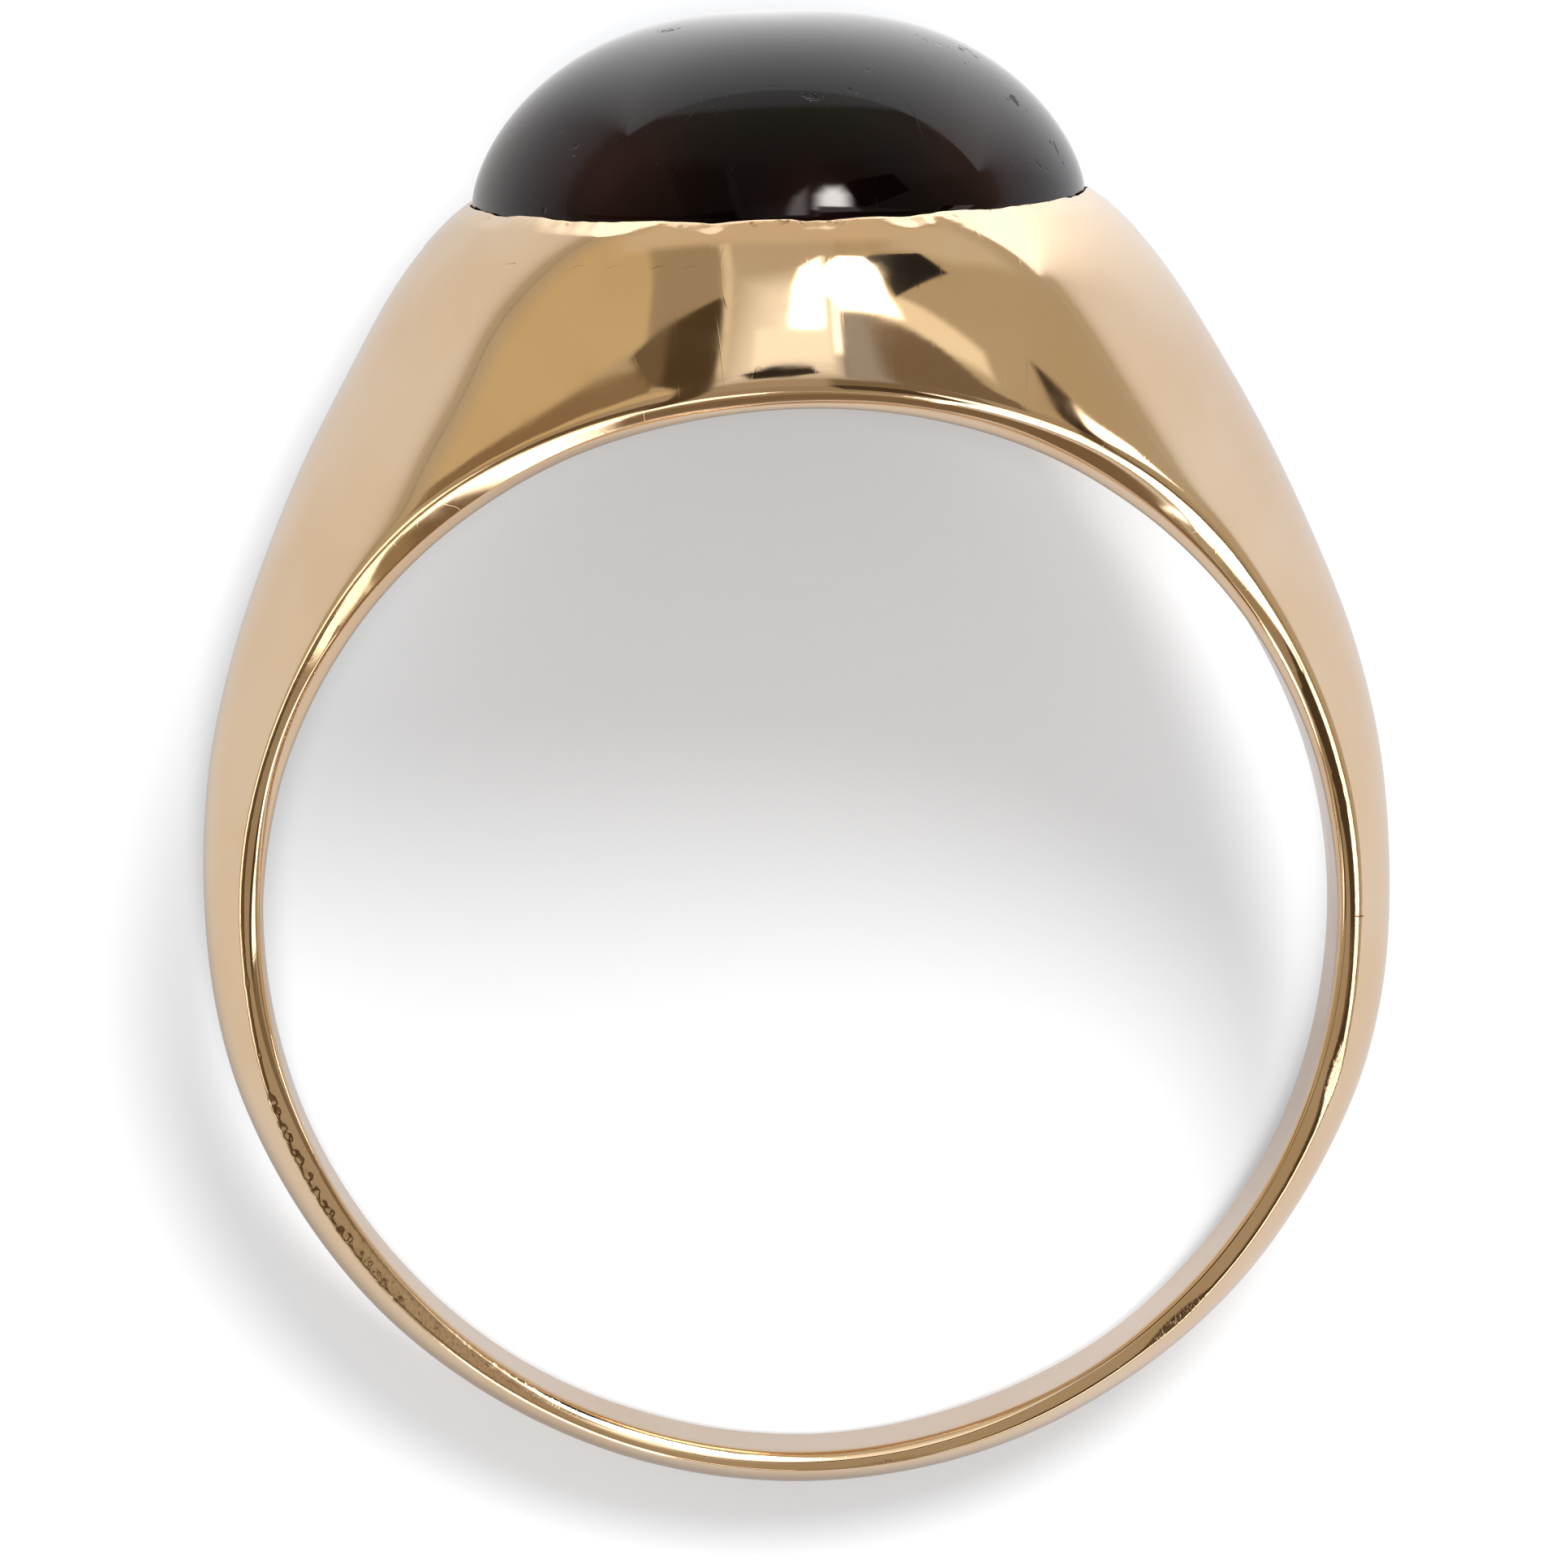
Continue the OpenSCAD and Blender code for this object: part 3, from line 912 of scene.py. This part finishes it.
def fill_world():
    """An even fill from all round, stronger from the side, and a plain backdrop for the camera."""
    world = bpy.data.worlds.new("fill")
    world.use_nodes = True
    world.cycles.sampling_method = "NONE"
    tree = world.node_tree
    tree.nodes.clear()
    up = add_node(tree, "SeparateXYZ", {0: add_node(tree, "TexCoord").outputs["Generated"]}).outputs["Z"]
    span = {"Value": up, "To Min": AMBIENT_SIDE / PAPER_WHITE, "To Max": AMBIENT_TOP / PAPER_WHITE}
    ambient = add_node(tree, "MapRange", span).outputs[0]
    parts = {k: times(tree, ambient, tint) for k, tint in enumerate(AMBIENT_TINT)}
    level = add_node(tree, "CombineColor", parts).outputs[0]
    seen = add_node(tree, "LightPath").outputs["Is Camera Ray"]
    background = add_node(tree, "Background", {"Color": mixed(tree, seen, level, BACKDROP)})
    add_node(tree, "OutputWorld", {"Surface": background.outputs[0]})
    return world


def studio(scene):
    """Two soft lights, an even fill, and the room that the gold mirrors."""
    mirrored_room()
    for name, values in LIGHTS.items():
        soft_light(name, *values)
    scene.world = fill_world()
    scene.view_settings.view_transform = "Standard"


FLOOR_HALF = 3.0

# The paper as it is mirrored, in metres from the middle, with light and shade painted into its colour: two
# halves of paper in painted shade, the left one warm for the light the gold throws back and the right one
# lighter for light from that side, the room beyond it, painted shade in a band towards the camera, painted
# light towards the two windows, and painted light away from the camera
LIFT = 0.01 * MM
SHADED_PAPER_LEFT = (0.52, 0.50, 0.485)
SHADED_PAPER_RIGHT = (0.555, 0.545, 0.56)
HALVES_MEET = (-0.012, 0.012)
BEYOND = (0.33, 0.295, 0.23)
SHEET_EDGE = (0.045, 0.2)
PAINTED_SHADE_NEAR = (0.14, 0.10, 0.062)
PAINTED_SHADE_FAR = (0.22, 0.165, 0.10)
DARK_FROM = (-0.0155, -0.0175)
DARK_END = (-0.04, -0.07)
DARK_HALF = (0.026, 0.015)
PAINTED_LIGHT = (2.3, 2.25, 2.1)
LIT_FROM = (-0.013, -0.016)
LIT_END = (-0.40, -0.25)
LIT_ASPECT = (0.19, 0.235, 0.6, 0.7)
LIT_LEAN = 3.6
PAINTED_NORTH_LIGHT = (1.12, 1.11, 1.1)
NORTH_LEAN, NORTH_SPREAD, NORTH_EDGE = 0.4, 1.1, (0.0, 0.02)


def painted_light_share(tree, across, along, beside):
    """How much painted light the paper has towards the two windows, as the gold mirrors it."""
    aspect = maths(tree, "DIVIDE", beside, maths(tree, "ABSOLUTE", along))
    low, full, last, end = LIT_ASPECT
    wide, narrow = ramp(tree, aspect, low, full), ramp(tree, aspect, end, last)
    reach = maths(tree, "MULTIPLY_ADD", maths(tree, "MAXIMUM", across, 0.0), LIT_LEAN, along)
    ahead = times(tree, ramp(tree, reach, *LIT_FROM), ramp(tree, along, *LIT_END))
    return times(tree, times(tree, wide, narrow), ahead)


def painted_north_light_share(tree, across, along, beside):
    """Where painted light lies on the paper: 1 away from the camera, 0 towards it and to the sides."""
    lean = maths(tree, "MULTIPLY_ADD", across, NORTH_LEAN, along)
    ahead = maths(tree, "SUBTRACT", lean, times(tree, beside, NORTH_SPREAD))
    return ramp(tree, ahead, *NORTH_EDGE)


def floor_sheet(name, height, material, **visibility):
    s = FLOOR_HALF
    corners = [(-s, -s, height), (s, -s, height), (s, s, height), (-s, s, height)]
    stage_mesh(name, corners, [(0, 1, 2, 3)], material, **visibility)


def paper_material(tree, colour):
    diffuse = add_node(tree, "BsdfDiffuse", {"Color": colour})
    add_node(tree, "OutputMaterial", {"Surface": diffuse.outputs[0]})


def paper_floor():
    """The plain paper that the camera sees."""
    material, tree = empty_material("paper")
    paper_material(tree, (PAPER_WHITE, PAPER_WHITE, PAPER_WHITE, 1))
    floor_sheet("floor", 0.0, material, glossy=False)


def mirrored_floor():
    """The paper as the gold and the stone mirror it, with painted shade and painted light: a sheet that only
    mirrored rays see.
    """
    material, tree = empty_material("mirrored_paper")
    where = add_node(tree, "TexCoord").outputs["Object"]
    reach = add_node(tree, "VectorMath", {0: where}, operation="LENGTH").outputs["Value"]
    across, along = add_node(tree, "SeparateXYZ", {0: where}).outputs[:2]
    beside = maths(tree, "ABSOLUTE", across)
    # Painted shade: the two halves are darker copies of the floor's white, warm on the left and lighter on
    # the right
    colour = mixed(tree, ramp(tree, across, *HALVES_MEET), SHADED_PAPER_LEFT, SHADED_PAPER_RIGHT)
    colour = mixed(tree, ramp(tree, reach, *SHEET_EDGE), colour, BEYOND)
    # Painted shade: a dark band on the mirrored paper towards the camera, brown further out
    dark = mixed(tree, ramp(tree, along, *DARK_END), PAINTED_SHADE_NEAR, PAINTED_SHADE_FAR)
    ahead, narrow = ramp(tree, along, *DARK_FROM), ramp(tree, beside, *DARK_HALF)
    colour = mixed(tree, times(tree, ahead, narrow), colour, dark)
    # Painted light: paper brighter than white towards the two windows and away from the camera
    colour = mixed(tree, painted_light_share(tree, across, along, beside), colour, PAINTED_LIGHT)
    colour = mixed(tree, painted_north_light_share(tree, across, along, beside), colour, PAINTED_NORTH_LIGHT)
    paper_material(tree, colour)
    hidden = dict.fromkeys(("camera", "diffuse", "transmission", "volume_scatter", "shadow"), False)
    floor_sheet("mirrored_floor", LIFT, material, **hidden)


place = resting_place(frame["record"])
photo_camera(place)

MICRON = 1e-6


def noise(tree, where, scale, detail, roughness=0.5, distortion=0.0):
    """Even noise, with its scale in bumps a millimetre."""
    inputs = {"Vector": where, "Scale": scale / MM, "Detail": detail}
    inputs |= {"Roughness": roughness, "Distortion": distortion}
    return add_node(tree, "TexNoise", inputs).outputs[0]


def noise_step(tree, where, scale, detail, roughness, *step):
    return ramp(tree, noise(tree, where, scale, detail, roughness), *step)


def turned_coordinates(tree, where, turn, stretch):
    inputs = {"Vector": where, "Rotation": turn, "Scale": (1, 1 / stretch, 1)}
    return add_node(tree, "Mapping", inputs).outputs[0]


def hairlines(tree, where, turn, scale, stretch, width):
    """Thin scratches that run roughly one way: the lines where stretched noise crosses its middle."""
    field = noise(tree, turned_coordinates(tree, where, turn, stretch), scale, 1.0)
    off = maths(tree, "ABSOLUTE", maths(tree, "SUBTRACT", field, 0.5))
    return ramp(tree, off, 0.0, width, 1.0, 0.0)


def shares_of(tree):
    """The four shares that the mesh carries."""
    paint = add_node(tree, "VertexColor", layer_name="shares")
    parts = add_node(tree, "SeparateColor", {0: paint.outputs["Color"]}).outputs
    return parts[0], parts[1], parts[2], paint.outputs["Alpha"]


def shader_material(name, **constants):
    """A material with one shader, with its constant values set on the shader itself."""
    material, tree = empty_material(name)
    shader = add_node(tree, "BsdfPrincipled")
    for socket, value in constants.items():
        shader.inputs[socket.replace("_", " ")].default_value = value
    add_node(tree, "OutputMaterial", {"Surface": shader.outputs[0]})
    return material, tree, shader


def bump_chain(tree, layers):
    """Bumps laid over one another: each has its height from 0 to 1 and its depth in microns."""
    normal = None
    for height, depth in layers:
        inputs = {"Height": height, "Strength": 1.0, "Distance": depth * MICRON}
        if normal is not None:
            inputs["Normal"] = normal
        normal = add_node(tree, "Bump", inputs).outputs[0]
    return normal


# A hairline crack across the near crease: turn, how far in and out and down it runs, half width, how
# soft its ends are, and how far it wanders
CRACK_TURN = -1.2
CRACK_REACH, CRACK_DEPTHS = (-0.16, 0.05), (-0.25, -0.15)
CRACK_HALF, CRACK_END = (0.016, 0.007), 0.03
CRACK_WANDER, CRACK_NOISE = 0.03, (12.0, 1.0)


def crack_share(tree, where, place):
    """1 in the hairline crack, 0 beside it."""
    at = crease_at(CRACK_TURN)
    radial = Vector((at[0], at[1], 0)).normalized()
    across = Vector((-radial.y, radial.x, 0))
    turned = place.to_3x3().normalized()
    offset = add_node(tree, "VectorMath", {0: where, 1: place @ Vector(at)}, operation="SUBTRACT").outputs[0]

    def along(way):
        parts = {0: offset, 1: turned @ way}
        return add_node(tree, "VectorMath", parts, operation="DOT_PRODUCT").outputs["Value"]

    def step(value, low, high):
        return ramp(tree, value, low * MM, high * MM)

    swing = CRACK_WANDER * MM
    wander = maths(tree, "MULTIPLY_ADD", noise(tree, where, *CRACK_NOISE), swing, -swing / 2)
    line = step(maths(tree, "ABSOLUTE", maths(tree, "ADD", along(across), wander)), *CRACK_HALF)
    reach = along(radial)
    inner = step(reach, CRACK_REACH[0], CRACK_REACH[0] + CRACK_END)
    outer = step(reach, CRACK_REACH[1] + CRACK_END, CRACK_REACH[1])
    near = step(along(Vector((0, 0, 1))), *CRACK_DEPTHS)
    ends = times(tree, inner, outer)
    return times(tree, times(tree, line, near), ends)


# Gold: its two tones, and the grime round the stone and in the scratches
GOLD_PALE = (0.935, 0.715, 0.49)
GOLD_DEEP = (0.905, 0.665, 0.43)
GRIME = (0.20, 0.105, 0.05)
RIM_GRIME, SCRATCH_GRIME = 0.75, 0.25

# Its roughness where it is polished, and what the hole's lining, scratches and grime add to it
GOLD_ROUGHNESS = 0.05
LINING_ADDS, SCRATCHED_ADDS, GRIME_ADDS = 0.13, 0.10, 0.25

# Its noises, as bumps a millimetre, detail and roughness, with what some of them grow from and to
TONE = (0.35, 2.0, 0.5, 0.35, 0.65)
SPOTS = (4.5, 3.0, 0.6, 0.6, 0.7)
SPECKS = (11.0, 1.0, 0.5, 0.6, 0.72)
HAZE = (1.1, 3.0, 0.6, 0.4, 0.75, GOLD_ROUGHNESS, GOLD_ROUGHNESS + 0.05)
WORN = (5.0, 1.5)
GROUND = (9.0, 1.0)

# Its scratches, as turn, bumps a millimetre, stretch and width, and the depth of each kind of wear in microns
SCRATCHES = ((0.3, 0.2, 0.5), 1.4, 9.0, 0.006)
RUBBED = ((0.2, 0.1, -0.8), 12.0, 5.0, 0.06)
WORN_DEPTH, GROUND_DEPTH, RUBBED_DEPTH, SCRATCH_DEPTH = 5.0, 1.0, 0.9, 0.15


def gold_dirt(tree, where, scratched, rim):
    """How much grime there is round the stone and in the scratches."""
    spots = times(tree, rim, noise_step(tree, where, *SPOTS))
    specks = times(tree, scratched, noise_step(tree, where, *SPECKS))
    spots, specks = times(tree, spots, RIM_GRIME), times(tree, specks, SCRATCH_GRIME)
    return maths(tree, "ADD", spots, specks, clamp=True)


def gold_roughness(tree, where, parts):
    """The polish with its haze, and what each of the other parts adds."""
    rough = noise_step(tree, where, *HAZE)
    for share, adds in parts:
        rough = maths(tree, "ADD", rough, times(tree, share, adds))
    return rough


def gold_normal(tree, where, edges, scratched, rim):
    """The bumps of worn edges, ground and rubbed places, and fine scratches."""
    worn = times(tree, maths(tree, "MAXIMUM", edges, rim), noise(tree, where, *WORN))
    ground = times(tree, scratched, noise(tree, where, *GROUND))
    rubbed = times(tree, scratched, hairlines(tree, where, *RUBBED))
    scratches = hairlines(tree, where, *SCRATCHES)
    layers = [(worn, WORN_DEPTH), (ground, GROUND_DEPTH), (rubbed, RUBBED_DEPTH), (scratches, SCRATCH_DEPTH)]
    return bump_chain(tree, layers)


def gold_material(place):
    material, tree, shader = shader_material("gold", Metallic=1.0)
    where = add_node(tree, "TexCoord").outputs["Object"]
    edges, scratched, rim, lining = shares_of(tree)
    tone = mixed(tree, noise_step(tree, where, *TONE), GOLD_DEEP, GOLD_PALE)
    dirt = maths(tree, "MAXIMUM", gold_dirt(tree, where, scratched, rim), crack_share(tree, where, place))
    colour = mixed(tree, dirt, tone, GRIME)
    parts = [(lining, LINING_ADDS), (scratched, SCRATCHED_ADDS), (dirt, GRIME_ADDS)]
    tree.links.new(colour, shader.inputs["Base Color"])
    tree.links.new(gold_roughness(tree, where, parts), shader.inputs["Roughness"])
    tree.links.new(gold_normal(tree, where, edges, scratched, rim), shader.inputs["Normal"])
    return material


# Garnet: nearly black, and a painted red glow that stands in for light coming back out of it
GARNET_DARK = (0.0012, 0.0006, 0.0006)
GARNET_PAINTED_GLOW = (0.016, 0.0032, 0.0028)
GARNET_IOR = 1.75
GARNET_TINT = (0.092, 0.09, 0.09, 1)
GLOW_NOISE = (0.4, 3.0, 0.5, 0.35, 0.7, 0.4, 1.0)
POLISH = (0.9, 5.0, 0.6, 0.4, 0.75, 0.03, 0.09)

# Its chips, pits and scratches: their noise, how much the mesh's marks add to it, and where a chip begins
CHIP_TURN, CHIP_STRETCH = (0.2, 0.4, 0.7), 2.5
CHIP_NOISE, CHIP_MARK, CHIP_STEP = (5.0, 3.0, 0.65, 0.8), 0.29, (0.74, 0.79)
CHIP_DULL = 0.45
PIT_SCALE, PIT_STEP = 0.9, (0.02, 0.06)
STONE_SCRATCHES = ((0.5, 0.9, 0.2), 0.8, 10.0, 0.005)
PIT_DEPTH, STONE_SCRATCH_DEPTH, CHIP_DEPTH = 6.0, 0.6, 14.0


def chipped_share(tree, where, worn):
    """Small chips in the garnet, where its mesh marks it as worn."""
    stretched = turned_coordinates(tree, where, CHIP_TURN, CHIP_STRETCH)
    field = noise(tree, stretched, *CHIP_NOISE)
    return ramp(tree, maths(tree, "MULTIPLY_ADD", worn, CHIP_MARK, field), *CHIP_STEP)


def garnet_material():
    constants = {"Metallic": 0.0, "IOR": GARNET_IOR, "Specular_Tint": GARNET_TINT}
    material, tree, shader = shader_material("garnet", **constants)
    where = add_node(tree, "TexCoord").outputs["Object"]
    glow, _, worn, _ = shares_of(tree)
    # Painted glow: red mixed into the base colour where light would come back out of the stone
    painted_glow = times(tree, glow, noise_step(tree, where, *GLOW_NOISE))
    colour = mixed(tree, painted_glow, GARNET_DARK, GARNET_PAINTED_GLOW)
    chips = chipped_share(tree, where, worn)
    rough = maths(tree, "ADD", noise_step(tree, where, *POLISH), times(tree, chips, CHIP_DULL))
    cells = {"Vector": where, "Scale": PIT_SCALE / MM, "Randomness": 1.0}
    pits = ramp(tree, add_node(tree, "TexVoronoi", cells).outputs["Distance"], *PIT_STEP)
    lines = hairlines(tree, where, *STONE_SCRATCHES)
    unchipped = maths(tree, "SUBTRACT", 1.0, chips)
    normal = bump_chain(tree, [(pits, PIT_DEPTH), (lines, STONE_SCRATCH_DEPTH), (unchipped, CHIP_DEPTH)])
    tree.links.new(colour, shader.inputs["Base Color"])
    tree.links.new(rough, shader.inputs["Roughness"])
    tree.links.new(normal, shader.inputs["Normal"])
    return material


ring = mesh_piece("ring_gold", *ring_mesh(), place, gold_material(place))
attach(ring, "root")
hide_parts("ring_body")

stone = mesh_piece("garnet_cabochon", *stone_mesh(), place, garnet_material())
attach(stone, "root")
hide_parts("garnet")

paper_floor()
mirrored_floor()
studio(bpy.context.scene)
